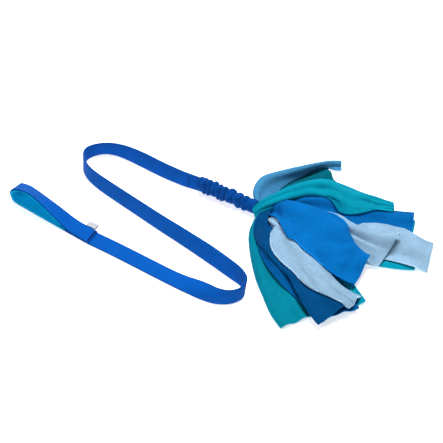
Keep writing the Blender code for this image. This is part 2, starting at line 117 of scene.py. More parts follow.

# Tails, in the order in which they are laid:
# stations   x, y, height, heading, roll and width
# bend       the arc across the strip in degrees, from knot to tip
# waves      folds across the strip besides that arc. phase shifts them and seeds the ripples
# own        how far it stands by itself (1) rather than lying on what is under it (0), from knot to tip
# slant      how far one corner of its end is ahead of the middle and the other behind it
# cut        the strip's flat width where it is not STRIP_WIDTH
# dents      bumps: place along (0 to 1) and across (-1 to 1), reach of each, and rise
# tone_and_shade  its colour's share, partly painted shade on tails lying under others, and colour takes the
# place of its kind's colour: for 15_blue a painted sheen
# body       the body it rides where it is not the mop
TAILS = [
    dict(name="01_turquoise", tone_and_shade=0.75, stations=[
        (116, -8, 10, -81, 0, 10), (123, -31, 5, -69, 0, 16), (139, -49, 4, -54, 0, 24),
        (158, -66, 3, -49, 0, 32), (178, -83, 3, -45, 0, 38), (198, -97, 3, -41, 0, 43),
        (218, -112, 3, -35, 0, 46), (238, -124, 2, -30, 0, 46)],
        bend=(150, 120, 60, 30, 20, 10), waves=2.0, phase=0.3, own=(1, 0.6, 0, 0, 0, 0)),
    dict(name="02_turquoise", stations=[
        (126, -9, 3.0, -45, 0, 12), (141, -16, 1.6, -28, 0, 18), (173, -26, 1.4, -18, 0, 28),
        (210, -40, 1.4, -22, 0, 38), (244, -59, 1.4, -27, 0, 48), (275, -79, 1.4, -28, 0, 52)],
        bend=(150, 90, 30, 10, 5), waves=2.5, phase=1.3),
    dict(name="03_turquoise", stations=[
        (127, 6, 3.0, 28, 0, 12), (142, 14, 1.6, 28, 0, 18), (172, 29, 1.4, 24, 0, 32),
        (208, 43, 1.4, 18, 0, 44), (244, 54, 1.4, 18, 0, 50), (281, 68, 1.4, 20, 0, 48)],
        bend=(150, 90, 30, 10, 5), waves=2.5, phase=2.0),
    dict(name="04_turquoise", tone_and_shade=0.45, stations=[
        (116, 13, 3.0, 80, 0, 14), (118, 30, 1.6, 76, 0, 26), (124, 54, 1.4, 68, 0, 40),
        (137, 80, 1.4, 60, 0, 44), (151, 102, 1.4, 50, 0, 42)],
        bend=(150, 90, 30, 10, 5), waves=2.5, phase=0.0),
    dict(name="05_blue", tone_and_shade=0.60, stations=[
        (121, -13, 6.6, -68, 0, 12), (134, -29, 5.2, -50, 0, 20), (162, -52, 5.0, -36, 0, 34),
        (200, -69, 5.0, -26, 0, 44), (238, -80, 5.0, -26, 0, 48), (274, -92, 5.0, -34, 0, 48)],
        bend=(150, 60, 20, 10, 5), waves=2.5, phase=0.8),
    dict(name="06_turquoise", stations=[
        (129, -1, 6.6, -4, 0, 12), (146, 2, 5.2, 4, 0, 20), (170, 7, 5.0, 2, 0, 28),
        (199, 13, 5.0, -2, 0, 34), (227, 16, 5.0, 0, 0, 42), (252, 20, 4.0, 12, 0, 46),
        (277, 29, 3.0, 22, 0, 48), (300, 40, 2.5, 26, 0, 48)],
        bend=(150, 60, 30, 10, 5), waves=2.5, phase=2.6),
    dict(name="07_blue", tone_and_shade=0.60, stations=[
        (125, 10, 6.6, 55, 0, 12), (136, 24, 5.2, 48, 0, 18), (158, 47, 5.0, 40, 0, 28),
        (186, 68, 5.0, 30, 0, 34), (220, 84, 5.0, 20, 0, 36)],
        bend=(150, 60, 30, 10, 5), waves=2.5, phase=0.0),
    dict(name="08_blue", tone_and_shade=0.40, stations=[
        (118, 2, 15, -81, 0, 9), (122, -19, 13, -70, 0, 12), (133, -35, 10, -52, 0, 16),
        (149, -48, 9, -37, 0, 19), (167, -57, 9, -28, 0, 22), (189, -64, 8, -26, 0, 27),
        (212, -72, 7, -30, 0, 33), (233, -83, 7, -34, 0, 39), (251, -92, 6, -29, 0, 44),
        (271, -99, 6, -24, 0, 46)],
        bend=(200, 220, 210, 160, 90, 40, 20, 15), waves=1.5, phase=0.5,
        own=(1, 1, 1, 0.7, 0.3, 0, 0, 0),
        dents=[(0.62, -0.8, 0.05, 0.3, 3.0), (0.74, -0.8, 0.05, 0.3, -3.0), (0.84, -0.4, 0.06, 0.4, 3.0)]),
    dict(name="09_pale", stations=[
        (128, -6, 6, -22, 0, 12), (143, -10, 9.2, -10, 0, 20), (174, -14, 9.0, -4, 0, 34),
        (204, -17, 9.0, -8, 0, 40), (232, -22, 9.0, -10, 0, 42)],
        bend=(150, 60, 30, 10, 5), waves=2.5, phase=1.0),
    dict(name="10_blue", tone_and_shade=0.80, stations=[
        (127, 7, 6, 35, 0, 12), (141, 17, 8, 33, 0, 20), (156, 29, 11, 28, 0, 26),
        (178, 42, 12, 22, 0, 34), (204, 50, 12, 24, 0, 40), (229, 61, 12, 28, 0, 43),
        (251, 72, 11, 27, 0, 44), (273, 84, 9, 24, 0, 42)],
        bend=(150, 60, 30, 20, 10), waves=1.5, phase=1.5),
    dict(name="11_pale", tone_and_shade=0.93, stations=[
        (128, 2, 7, 10, 0, 12), (146, 4, 9, 6, 0, 20), (166, 6, 14, 4, 0, 27),
        (186, 7, 17, 6, 0, 31), (204, 8, 17, 8, 2, 33), (222, 12, 16, 12, 3, 36),
        (238, 19, 15, 22, 4, 40), (256, 29, 13, 24, 5, 45), (278, 37, 9, 17, 4, 46),
        (298, 40, 6, 17, 2, 45), (317, 46, 4, 19, 1, 49)],
        bend=(150, 60, 30, 60, 90, 20, 5), waves=1.5, phase=2.2,
        dents=[(0.70, 0.55, 0.05, 0.35, 4.0), (0.78, -0.1, 0.05, 0.5, 3.0), (0.92, 0.3, 0.05, 0.5, 2.5)]),
    dict(name="12_pale", cut=50.0, tone_and_shade=0.86, stations=[
        (131, 0, 5, -48, 0, 10), (144, -10, 9, -48, 0, 13), (154, -25, 17, -40, 6, 27),
        (172, -44, 20, -36, 8, 37), (194, -54, 20, -28, 8, 39), (216, -63, 20, -21, 8, 37),
        (237, -70, 17, -16, 8, 32), (259, -73, 12, -5, 7, 28), (281, -71, 7, 4, 5, 31)],
        bend=(150, 90, 40, 40, 60, 20), waves=1.5, phase=0.9, own=(1, 0.9, 0.8, 0.8, 0.6, 0.5),
        dents=[(0.80, -0.1, 0.30, 0.16, 2.5)]),
    dict(name="13_pale", cut=48.0, tone_and_shade=0.90, slant=9.0, stations=[
        (129, 1, 6, 6, 0, 12), (150, 5, 11, 10, 0, 20), (168, 10, 18, 0, 4, 28),
        (186, 12, 22, -10, 6, 28), (204, 13, 25, -9, 8, 24), (221, 10, 24, -2, 10, 25),
        (242, 10, 21, 4, 10, 30), (260, 12, 18, 12, 10, 35), (276, 19, 14, 18, 10, 36)],
        bend=(150, 90, 60, 50, 90, 120), waves=1.0, phase=0.0, own=(1, 1, 1, 0.9, 0.5, 0.1),
        dents=[(0.80, -0.15, 0.16, 0.16, 3.5), (0.86, -0.75, 0.16, 0.30, -2.5)]),
    dict(name="14_turquoise", body="side_tail", tone_and_shade=1.0, stations=[
        (105, -9, 10, 50, 0, 12), (112, -1, 19, 54, 6, 15), (121, 12, 22, 56, 16, 17),
        (132, 28, 25, 52, 24, 19), (148, 46, 27, 44, 26, 23), (166, 58, 27, 34, 22, 31),
        (189, 61, 22, 20, 12, 43), (207, 68, 17, 22, 8, 38), (226, 81, 13, 28, 6, 26),
        (243, 90, 11, 30, 4, 20)],
        bend=(180, 200, 220, 220, 170, 90, 60, 60), waves=3.0, phase=0.0, own=(1, 1, 1, 0.9, 0.6),
        dents=[(0.62, -0.5, 0.05, 0.35, 4.5), (0.50, -0.2, 0.05, 0.5, -3.0), (0.78, 0.3, 0.05, 0.4, 4.0),
               (0.88, -0.2, 0.04, 0.5, -3.0)]),
    # 15_blue's colour is a painted sheen over its blue fleece.
    dict(name="15_blue", body="back_tail", colour=PAINTED_SHEEN_BLUE, cut=38.0, stations=[
        (111, 4, 8, 107, 21, 5), (99, 16, 11, 115, 34, 10), (98, 35, 12, 88, 37, 15),
        (104, 53, 12, 65, 47, 12), (112, 69, 12, 59, 62, 10), (120, 83, 12, 66, 76, 9),
        (127, 100, 10, 92, 90, 8), (136, 113, 8, 58, 72, 7), (150, 124, 5, 33, 26, 9)],
        bend=(200, 300, 300, 300, 300, 200, 60), waves=1.0, phase=0.0, own=(1, 1, 1, 1, 1)),
    dict(name="16_blue", body="top_tail", tone_and_shade=0.95, stations=[
        (120, 1, 11, 20, 8, 10), (132, 2, 16, 22, 6, 20), (140, -2, 21, 26, -2, 36),
        (152, -5, 25, 20, 0, 52), (196, -10, 28, -31, 3, 64), (212, -18, 26, -31, 2, 61),
        (227, -24, 24, -28, 2, 55), (236, -26, 23, -11, 5, 51), (252, -27, 18, -8, 4, 47),
        (264, -25, 15, 6, 7, 45)],
        bend=(60, 70, 80, 70, 50, 40, 20), waves=1.0, phase=0.6, own=(1, 1, 1, 0.9, 0.8),
        dents=[(0.62, 0.55, 0.07, 0.35, 5.0), (0.80, 0.45, 0.05, 0.40, 5.0), (0.70, -0.45, 0.06, 0.35, 4.5),
               (0.86, -0.25, 0.04, 0.35, 4.5), (0.95, 0.1, 0.03, 0.4, 3.0)]),
]
FLEECE = {"blue": ("fleece_blue", FLEECE_BLUE), "turquoise": ("fleece_turquoise", TURQUOISE),
          "pale": ("fleece_pale_blue", PALE_BLUE)}


# ---------------------------------------------------------------- camera, floor and light

def make_camera():
    azimuth, elevation = math.radians(CAMERA_AZIMUTH), math.radians(CAMERA_ELEVATION)
    back = Vector((math.sin(azimuth) * math.cos(elevation),
                   -math.cos(azimuth) * math.cos(elevation), math.sin(elevation)))
    data = bpy.data.cameras.new("camera")
    data.lens = CAMERA_LENS
    data.sensor_width = 36.0
    camera = bpy.data.objects.new("camera", data)
    bpy.context.scene.collection.objects.link(camera)
    camera.location = Vector(CAMERA_TARGET) + back * CAMERA_DISTANCE
    camera.rotation_mode = "QUATERNION"
    camera.rotation_quaternion = (-back).to_track_quat("-Z", "Y")
    bpy.context.scene.camera = camera


def make_floor():
    side, height = 4.0, -0.0002
    mesh = bpy.data.meshes.new("floor")
    corners = [(-side, -side), (side, -side), (side, side), (-side, side)]
    mesh.from_pydata([(x, y, height) for x, y in corners], [], [(0, 1, 2, 3)])
    floor = bpy.data.objects.new("floor", mesh)
    bpy.context.scene.collection.objects.link(floor)
    material = bpy.data.materials.new("floor_white")
    material.use_nodes = True
    shader = material.node_tree.nodes["Principled BSDF"]
    shader.inputs["Base Color"].default_value = (0.93, 0.93, 0.93, 1.0)
    shader.inputs["Roughness"].default_value = 0.9
    shader.inputs["Specular IOR Level"].default_value = 0.1
    shader.inputs["Emission Color"].default_value = (1.0, 1.0, 1.0, 1.0)
    shader.inputs["Emission Strength"].default_value = 0.60
    mesh.materials.append(material)


def area_light(name, place, size, watts):
    data = bpy.data.lights.new(name, "AREA")
    data.shape = "DISK"
    data.size = size
    data.energy = watts
    light = bpy.data.objects.new(name, data)
    light.location = place
    aim = Vector(LIGHT_TARGET) - Vector(place)
    light.rotation_mode = "QUATERNION"
    light.rotation_quaternion = aim.to_track_quat("-Z", "Y")
    bpy.context.scene.collection.objects.link(light)


def make_lights():
    world = bpy.data.worlds.new("studio")
    world.use_nodes = True
    background = world.node_tree.nodes["Background"]
    background.inputs["Color"].default_value = (1.0, 1.0, 1.0, 1.0)
    background.inputs["Strength"].default_value = 0.20
    bpy.context.scene.world = world
    area_light("top", (0.10, 0.60, 2.00), 0.7, 58.0)
    area_light("front", (-0.3, -1.6, 1.6), 1.0, 15.0)
    bpy.context.scene.view_settings.view_transform = "Standard"


# ---------------------------------------------------------------- shapes

def smooth_route(stations, steps):
    """Catmull-Rom curve through the stations, every column of the table alike."""
    rows = np.array(stations, float)
    last = len(rows) - 1
    out = []
    for i in range(last):
        a, b, c, d = rows[max(i - 1, 0)], rows[i], rows[i + 1], rows[min(i + 2, last)]
        for t in np.arange(steps) / steps:
            out.append(b + 0.5 * (c - a) * t + 0.5 * (2 * a - 5 * b + 4 * c - d) * t * t
                       + 0.5 * (3 * b - a - 3 * c + d) * t ** 3)
    out.append(rows[last])
    return np.array(out)


def tangents(points):
    ways = np.gradient(points, axis=0)
    return ways / np.maximum(np.linalg.norm(ways, axis=1, keepdims=True), 1e-9)


def lengths(points):
    steps = np.linalg.norm(np.diff(points, axis=0), axis=1)
    return np.concatenate([[0.0], np.cumsum(steps)])


def even_rows(rows, spacing):
    """The same curve with its rows a given distance apart along its first three columns."""
    along = lengths(rows[:, :3])
    count = max(4, int(round(along[-1] / spacing)) + 1)
    wanted = np.linspace(0.0, along[-1], count)
    return np.stack([np.interp(wanted, along, column) for column in rows.T], axis=1)


def spread(values, count):
    """Values given evenly from first to last, at count places."""
    return np.interp(np.linspace(0, 1, count), np.linspace(0, 1, len(values)), values)


def blur(grid, sigma_rows, sigma_columns):
    """A soft average over a grid, with its edges repeated."""
    for axis, sigma in ((0, sigma_rows), (1, sigma_columns)):
        reach = max(1, int(3 * sigma))
        offsets = np.arange(-reach, reach + 1)
        weights = np.exp(-0.5 * (offsets / sigma) ** 2)
        weights /= weights.sum()
        index = np.arange(grid.shape[axis])
        total = np.zeros_like(grid)
        for offset, weight in zip(offsets, weights):
            total += weight * np.take(grid, np.clip(index + offset, 0, len(index) - 1), axis=axis)
        grid = total
    return grid


def widen(grid, rows, columns):
    """The largest value within so many rows and columns."""
    for axis, reach in ((0, rows), (1, columns)):
        index = np.arange(grid.shape[axis])
        shifted = [np.take(grid, np.clip(index + k, 0, len(index) - 1), axis=axis)
                   for k in range(-reach, reach + 1)]
        grid = np.max(shifted, axis=0)
    return grid


def add_mesh(name, points, faces, materials, uvs=None, face_materials=None):
    """An object from points in mm about DATUM, with UVs in metres given per point."""
    mesh = bpy.data.meshes.new(name)
    mesh.from_pydata(((np.asarray(points) + DATUM) * MM).tolist(), [], faces)
    for material in materials:
        mesh.materials.append(material)
    if uvs is not None:
        layer = mesh.uv_layers.new(name="cloth")
        corners = np.empty(len(mesh.loops), np.int32)
        mesh.loops.foreach_get("vertex_index", corners)
        layer.data.foreach_set("uv", (np.asarray(uvs)[corners] * MM).astype(np.float32).ravel())
    if face_materials is not None:
        mesh.polygons.foreach_set("material_index", face_materials)
    mesh.polygons.foreach_set("use_smooth", [True] * len(mesh.polygons))
    mesh.update()
    obj = bpy.data.objects.new(name, mesh)
    bpy.context.scene.collection.objects.link(obj)
    return obj


def grid_faces(rows, columns, closed_columns=False, closed_rows=False):
    faces = []
    for i in range(rows if closed_rows else rows - 1):
        for j in range(columns if closed_columns else columns - 1):
            k = (j + 1) % columns
            n = (i + 1) % rows
            faces.append((i * columns + j, i * columns + k, n * columns + k, n * columns + j))
    return faces


def loft(name, rings, material, uvs=None, closed=False):
    """A tube through rings of points, capped at its ends unless it closes on itself."""
    rings = np.asarray(rings, float)
    rows, columns = rings.shape[:2]
    faces = grid_faces(rows, columns, True, closed)
    if not closed:
        faces.append(tuple(range(columns))[::-1])
        faces.append(tuple(range((rows - 1) * columns, rows * columns)))
    return add_mesh(name, rings.reshape(-1, 3), faces, [material],
                    None if uvs is None else np.asarray(uvs).reshape(-1, 2))


def grid_normals(grid):
    along = np.gradient(grid, axis=0)
    across = np.gradient(grid, axis=1)
    normals = np.cross(along, across)
    return normals / np.maximum(np.linalg.norm(normals, axis=2, keepdims=True), 1e-9)


def thick_sheet(name, grid, thick, materials):
    """A closed cloth about a grid of points, its rim rounded and in the second material."""
    rows, columns = grid.shape[:2]
    normals = grid_normals(grid)
    half = thick / 2
    top, low = grid + normals * half, grid - normals * half
    rim = [(0, j) for j in range(columns)] + [(i, columns - 1) for i in range(1, rows)]
    rim += [(rows - 1, j) for j in range(columns - 2, -1, -1)] + [(i, 0) for i in range(rows - 2, 0, -1)]
    edge = np.array([grid[i, j] for i, j in rim])
    inner = np.array([grid[min(max(i, 1), rows - 2), min(max(j, 1), columns - 2)] for i, j in rim])
    out = edge - inner
    out /= np.maximum(np.linalg.norm(out, axis=1, keepdims=True), 1e-9)
    middle = edge + out * half * 0.9
    count = rows * columns
    points = np.concatenate([top.reshape(-1, 3), low.reshape(-1, 3), middle])
    faces = [(b, c, d, a) for a, b, c, d in grid_faces(rows, columns)]
    faces += [(a + count, d + count, c + count, b + count) for a, b, c, d in grid_faces(rows, columns)]
    face_materials = [0] * len(faces)
    for n, (i, j) in enumerate(rim):
        i2, j2 = rim[(n + 1) % len(rim)]
        a, b = i * columns + j, i2 * columns + j2
        m, m2 = 2 * count + n, 2 * count + (n + 1) % len(rim)
        faces.append((b, a, m, m2))
        faces.append((m2, m, a + count, b + count))
        face_materials += [1, 1]
    along = lengths(grid[:, columns // 2])
    u = np.repeat(along[:, None], columns, axis=1)
    v = np.cumsum(np.concatenate([np.zeros((rows, 1)),
                                  np.linalg.norm(np.diff(grid, axis=1), axis=2)], axis=1), axis=1)
    flat = np.stack([u, v], axis=2).reshape(-1, 2)
    uvs = np.concatenate([flat, flat, np.array([(u[i, j], v[i, j]) for i, j in rim])])
    return add_mesh(name, points, faces, materials, uvs, face_materials)


def tube(name, points, radius, material, sides=10):
    """A round thread or cord along points."""
    points = np.asarray(points, float)
    ways = tangents(points)
    side = np.cross(ways, [0.0, 0.0, 1.0])
    weak = np.linalg.norm(side, axis=1) < 0.2
    side[weak] = np.cross(ways[weak], [1.0, 0.0, 0.0])
    side /= np.linalg.norm(side, axis=1, keepdims=True)
    up = np.cross(side, ways)
    angles = 2 * np.pi * np.arange(sides) / sides
    rings = [p + radius * (np.outer(np.cos(angles), s) + np.outer(np.sin(angles), u))
             for p, s, u in zip(points, side, up)]
    return loft(name, rings, material)


# ---------------------------------------------------------------- materials

def new_material(name, colour, roughness, sheen=0.0):
    material = bpy.data.materials.new(name)
    material.use_nodes = True
    shader = material.node_tree.nodes["Principled BSDF"]
    shader.inputs["Roughness"].default_value = roughness
    shader.inputs["Specular IOR Level"].default_value = 0.03
    shader.inputs["Sheen Weight"].default_value = sheen
    shader.inputs["Sheen Roughness"].default_value = 0.45
    tint = [0.10 + 0.90 * c / max(colour) for c in colour]
    shader.inputs["Sheen Tint"].default_value = (*tint, 1.0)
    return material, shader


def add_node(material, kind, inputs=(), **settings):
    node = material.node_tree.nodes.new(kind)
    for key, value in settings.items():
        setattr(node, key, value)
    for key, value in dict(inputs).items():
        if isinstance(value, bpy.types.NodeSocket):
            material.node_tree.links.new(value, node.inputs[key])
        else:
            node.inputs[key].default_value = value
    return node


def shades(material, shader, factor, dark, light):
    """Base colour between two shades, by a factor from 0 to 1."""
    ramp = add_node(material, "ShaderNodeValToRGB", {0: factor})
    ramp.color_ramp.elements[0].color = (*dark, 1.0)
    ramp.color_ramp.elements[1].color = (*light, 1.0)
    material.node_tree.links.new(ramp.outputs["Color"], shader.inputs["Base Color"])


def scaled(colour, share):
    return tuple(min(1.0, c * share) for c in colour)


def sine(material, value, period):
    """A wave from 0 to 1 with a period in metres."""
    turned = add_node(material, "ShaderNodeMath", {0: value, 1: 2 * math.pi / period}, operation="MULTIPLY")
    wave = add_node(material, "ShaderNodeMath", {0: turned.outputs[0]}, operation="SINE")
    return add_node(material, "ShaderNodeMath", {0: wave.outputs[0], 1: 0.5, 2: 0.5},
                    operation="MULTIPLY_ADD").outputs[0]


def mix(material, a, b, share):
    """Part a and part b of two values."""
    first = add_node(material, "ShaderNodeMath", {0: a, 1: 1.0 - share}, operation="MULTIPLY")
    return add_node(material, "ShaderNodeMath", {0: b, 1: share, 2: first.outputs[0]},
                    operation="MULTIPLY_ADD").outputs[0]


def bump(material, shader, height, distance, strength=1.0):
    node = add_node(material, "ShaderNodeBump", {"Height": height, "Distance": distance,
                                                 "Strength": strength})
    material.node_tree.links.new(node.outputs["Normal"], shader.inputs["Normal"])


def webbing(name, colour, rib=0.0016, pick=0.0011, edge_at=None, edge_shade=0.75):
    """Woven strap: ribs along it, picks across them, and darker selvedges; a negative edge_shade makes them
    lighter instead, a painted highlight as on the lining.
    """
    material, shader = new_material(name, colour, 0.62, 0.03)
    uv = add_node(material, "ShaderNodeUVMap", uv_map="cloth")
    parts = add_node(material, "ShaderNodeSeparateXYZ", {0: uv.outputs["UV"]})
    ribs = sine(material, parts.outputs["Y"], rib)
    picks = sine(material, parts.outputs["X"], pick)
    weave = mix(material, ribs, picks, 0.45)
    cloud = add_node(material, "ShaderNodeTexNoise", {"Vector": uv.outputs["UV"], "Scale": 45.0,
                                                      "Detail": 3.0})
    factor = mix(material, cloud.outputs["Fac"], weave, 0.25)
    if edge_at:
        off = add_node(material, "ShaderNodeMath", {0: parts.outputs["Y"], 1: edge_at}, operation="SUBTRACT")
        far = add_node(material, "ShaderNodeMath", {0: off.outputs[0]}, operation="ABSOLUTE")
        edge = add_node(material, "ShaderNodeMapRange", {
            "Value": far.outputs[0], "From Min": edge_at - 0.0011, "From Max": edge_at - 0.0002,
            "To Min": 0.0, "To Max": edge_shade})
        kept = add_node(material, "ShaderNodeMath", {0: factor, 1: edge.outputs[0]}, operation="SUBTRACT")
        factor = kept.outputs[0]
    shades(material, shader, factor, scaled(colour, 0.72), scaled(colour, 1.22))
    bump(material, shader, weave, 0.00022, 0.7)
    return material


def fleece(name, colour, lightness=1.0):
    """Brushed fleece: soft clumps of pile, fine fuzz and a tinted sheen."""
    material, shader = new_material(name, colour, 0.95, 0.12)
    place = add_node(material, "ShaderNodeTexCoord")
    where = place.outputs["Object"]
    broad = add_node(material, "ShaderNodeTexNoise", {"Vector": where, "Scale": 38.0, "Detail": 3.0})
    clumps = add_node(material, "ShaderNodeTexNoise", {"Vector": where, "Scale": 260.0, "Detail": 4.0})
    fuzz = add_node(material, "ShaderNodeTexNoise", {"Vector": where, "Scale": 1300.0, "Detail": 2.0})
    factor = mix(material, broad.outputs["Fac"], clumps.outputs["Fac"], 0.45)
    # A lightness above 1 paints a highlight, as on the tails' rims.
    shades(material, shader, factor, scaled(colour, 0.62 * lightness), scaled(colour, 1.36 * lightness))
    height = mix(material, clumps.outputs["Fac"], fuzz.outputs["Fac"], 0.35)
    bump(material, shader, height, 0.0016, 0.55)
    return material


def plain_cloth(name, colour, roughness, scale, sheen=0.2, depth=0.0003):
    """Fine even cloth or thread."""
    material, shader = new_material(name, colour, roughness, sheen)
    place = add_node(material, "ShaderNodeTexCoord")
    grain = add_node(material, "ShaderNodeTexNoise", {
        "Vector": place.outputs["Object"], "Scale": scale, "Detail": 3.0})
    shades(material, shader, grain.outputs["Fac"], scaled(colour, 0.7), scaled(colour, 1.3))
    bump(material, shader, grain.outputs["Fac"], depth, 0.6)
    return material


# ---------------------------------------------------------------- lead

def lean_direction(left, angles):
    lean = np.radians(angles)[:, None]
    return left * np.cos(lean) + np.array([0.0, 0.0, 1.0]) * np.sin(lean)


def strap_outline(count=14):
    """Places across a strap from edge to edge and its half thickness there, with round selvedges."""
    places = 0.5 - 0.5 * np.cos(np.linspace(0, np.pi, count))
    places = 0.5 * places + 0.5 * np.linspace(0, 1, count)
    round_part = 1.3 / WEB_WIDTH
    inside = np.minimum(places, 1 - places) / round_part
    half = np.where(inside < 1, np.sqrt(np.clip(1 - (1 - inside) ** 2, 0, 1)), 1.0)
    return places, np.maximum(half, 0.05)


def make_lead():
    rows = even_rows(np.insert(smooth_route(LEAD_ROUTE, 8), 2, 0.0, axis=1), 3.0)
    flat = rows[:, :3]
    ways = tangents(flat)
    left = np.stack([-ways[:, 1], ways[:, 0], np.zeros(len(ways))], axis=1)
    low, high = rows[:, 3], rows[:, 4]
    share, half = strap_outline()
    clearance = FLOOR_CLEARANCE + np.abs(np.cos(np.radians(low))) * WEB_THICK / 2
    point = flat + clearance[:, None] * np.array([0.0, 0.0, 1.0])
    line, sides = [point], [lean_direction(left, low)]
    for before, after in zip(share[:-1], share[1:]):
        turn = np.clip(((before + after) / 2 - 0.25) / 0.5, 0, 1)
        turn = turn * turn * (3 - 2 * turn)
        direction = lean_direction(left, low + (high - low) * turn)
        point = point + direction * (after - before) * WEB_WIDTH
        line.append(point)
        sides.append(direction)
    line = np.array(line).transpose(1, 0, 2)
    normals = np.cross(np.array(sides).transpose(1, 0, 2), ways[:, None, :])
    offset = normals * (half * WEB_THICK / 2)[None, :, None]
    rings = np.concatenate([line + offset, (line - offset)[:, ::-1]], axis=1)
    along = lengths(line[:, len(share) // 2])
    across = np.concatenate([share, share[::-1]]) * WEB_WIDTH
    uvs = np.stack(np.broadcast_arrays(along[:, None], across[None, :]), axis=2)
    strap = loft("lead_strap", rings, webbing("webbing_royal", ROYAL, edge_at=WEB_WIDTH * MM / 2), uvs)
    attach(strap, "lead")
    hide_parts("lead_webbing")


# ---------------------------------------------------------------- handle

def handle_profile(inset):
    length = HANDLE_LENGTH
    base = [
        (1.4, 1.2), (-30.0, 1.0), (-60.0, 1.0), (-90.0, 1.2), (10.0 - length, 1.8), (3.0 - length, 4.2),
        (-length, 9.0), (3.0 - length, 14.0), (10.0 - length, 16.8), (20.0 - length, 18.6),
        (-90.0, 17.0), (-60.0, 11.0), (-42.0, 6.4), (-28.0, 3.8), (-14.0, 3.4), (1.4, 3.3)]
    rows = smooth_route([(x, 0.0, z) for x, z in base], 6)
    ways = tangents(rows)
    inwards = np.stack([-ways[:, 2], np.zeros(len(ways)), ways[:, 0]], axis=1)
    return rows - inwards * inset, inwards


def handle_lift(line, across):
    """How far the upper limb is tipped up towards its near edge, for every point across the strap."""
    most = HANDLE_TIP * np.interp(line[:, 0], (-122.0, -104.0, -88.0), (0.5, 0.65, 1.0))
    most *= np.clip((line[:, 2] - TIP_FROM) / TIP_RISE, 0, 1)
    return most[:, None] * (0.5 - across / WEB_WIDTH)[None, :]


def handle_points(points, across):
    """The loop's side view turned on the floor by the handle's yaw."""
    yaw = math.radians(HANDLE_YAW)
    x = SEAM_X + points[..., 0] * math.cos(yaw) + across * math.sin(yaw)
    y = HANDLE_Y + points[..., 0] * math.sin(yaw) + across * math.cos(yaw)
    return np.stack([x, y, points[..., 2]], axis=-1)


def handle_strip(inset, half_width, thick, first, last):
    """Rings and UVs of a strap or lining that follows the loop's side view."""
    line, inwards = handle_profile(inset)
    line, inwards = line[first:last], inwards[first:last]
    share, half = strap_outline()
    across = (share * 2 - 1) * half_width
    up = line[:, None] + inwards[:, None] * (half * thick / 2)[None, :, None]
    down = line[:, None] - inwards[:, None] * (half * thick / 2)[None, :, None]
    lift = handle_lift(line + inwards * inset, across)
    up[..., 2] += lift
    down[..., 2] += lift
    rings = np.concatenate([handle_points(up, across), handle_points(down, across)[:, ::-1]], axis=1)
    both = np.concatenate([across, across[::-1]]) + half_width
    uvs = np.stack(np.broadcast_arrays(lengths(line)[:, None], both[None, :]), axis=2)
    return rings, uvs, lengths(line)[-1]


def make_handle():
    rings, uvs, _ = handle_strip(0.0, WEB_WIDTH / 2, WEB_THICK, 0, None)
    strap = loft("handle_strap", rings, bpy.data.materials["webbing_royal"], uvs)
    bend_at_seam(strap)
    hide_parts("handle_webbing")
    half_width = WEB_WIDTH / 2 + LINING_MARGIN
    rings, uvs, length = handle_strip(LINING_INSET, half_width, LINING_THICK, *LINING_ROWS)
    # The negative edge_shade paints a highlight along the lining's selvedges.
    mesh_cloth = webbing("lining_mesh", LINING, 0.0012, 0.0012, half_width * MM, -0.6)
    lining = loft("handle_lining_cloth", rings, mesh_cloth, uvs)
    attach(lining, "handle")
    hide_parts("handle_lining")


def bend_at_seam(piece):
    """Bakes the piece's placement into its points. The strap lying with the lead past the seam and bending
    up into the loop before it are in its points already; this bends nothing.
    """
    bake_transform(piece)


def make_handle_stitches():
    """A dense zigzag bar tack across the seam."""
    thread = plain_cloth("thread_navy", NAVY, 0.5, 2500.0)
    count = 46
    middle, swing, height, reach = -0.6, 0.9, 4.75, 9.5
    across = np.linspace(-reach, reach, count)
    offset = np.where(np.arange(count) % 2 == 0, -swing, swing)
    base = np.stack([middle + offset, np.zeros(count), np.full(count, height)], axis=1)
    stitches = tube("handle_bar_tack", handle_points(base, across), 0.34, thread, 6)
    bend_at_seam(stitches)
    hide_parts("handle_stitching")


def make_label():
    """A blank ribbon folded in half, its fold outwards."""
    profile = np.array([(-2.0, 1.7), (2.0, 1.75), (5.0, 1.85), (7.4, 1.9), (8.2, 2.1), (8.4, 2.4),
                        (8.2, 2.75), (7.3, 3.0), (5.0, 3.1), (2.0, 3.15), (0.0, 3.1)])
    smooth = smooth_route([(0.0, a, b) for a, b in profile], 3)
    columns = np.linspace(-57.0, -44.0, 9)
    inner = HANDLE_Y + WEB_WIDTH / 2 + 1.6
    grid = np.array([[(x, inner + y + 0.25 * math.sin(x * 0.6), z + 0.12 * math.sin(x)) for x in columns]
                     for _, y, z in smooth])
    # The face's grey is painted shade on the white ribbon, and the rim's near black is painted shade along
    # its edge.
    white = plain_cloth("label_ribbon", LABEL_WHITE_PAINTED_SHADE, 0.7, 900.0, 0.0, 0.0001)
    rim = plain_cloth("label_edge_painted_shade", LABEL_EDGE_PAINTED_SHADE, 0.7, 900.0, 0.0, 0.0001)
    label = thick_sheet("label_ribbon", grid, 0.35, [white, rim])
    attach(label, "label")
    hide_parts("label_tag")


# ---------------------------------------------------------------- bungee

def sleeve_shape(along, angle):
    """The sleeve's surface: smooth ellipse, plus round gathers with sharp folds between them."""
    t = along / (BUNGEE_END - BUNGEE_START)
    half_height = 11.2 - 2.0 * t
    half_width = 8.0 + 0.6 * t
    wander = 0.5 * np.sin(angle + along * 0.11) + 0.3 * np.sin(2 * angle - along * 0.23 + 1.0)
    cycle = np.interp(along + wander, VALLEYS, np.arange(len(VALLEYS)))
    crest = np.abs(np.sin(np.pi * cycle)) ** 0.55
    fade = np.clip((RUCHED_TO + 1.5 - along) / 5.0, 0, 1) * np.clip(along / 2.5, 0, 1)
    uneven = 0.75 + 0.25 * np.sin(3 * angle + 2.1 * cycle)
    rise = (crest * 4.8 * uneven - 3.4) * fade - 0.5 * (1 - fade)
    y = -4.0 + 4.0 * t + (half_width + rise * 0.9) * np.cos(angle)
    z = 12.4 - 2.4 * t + (half_height + rise) * np.sin(angle)
    return np.stack([BUNGEE_START + along, y, np.maximum(z, 0.4)], axis=-1)


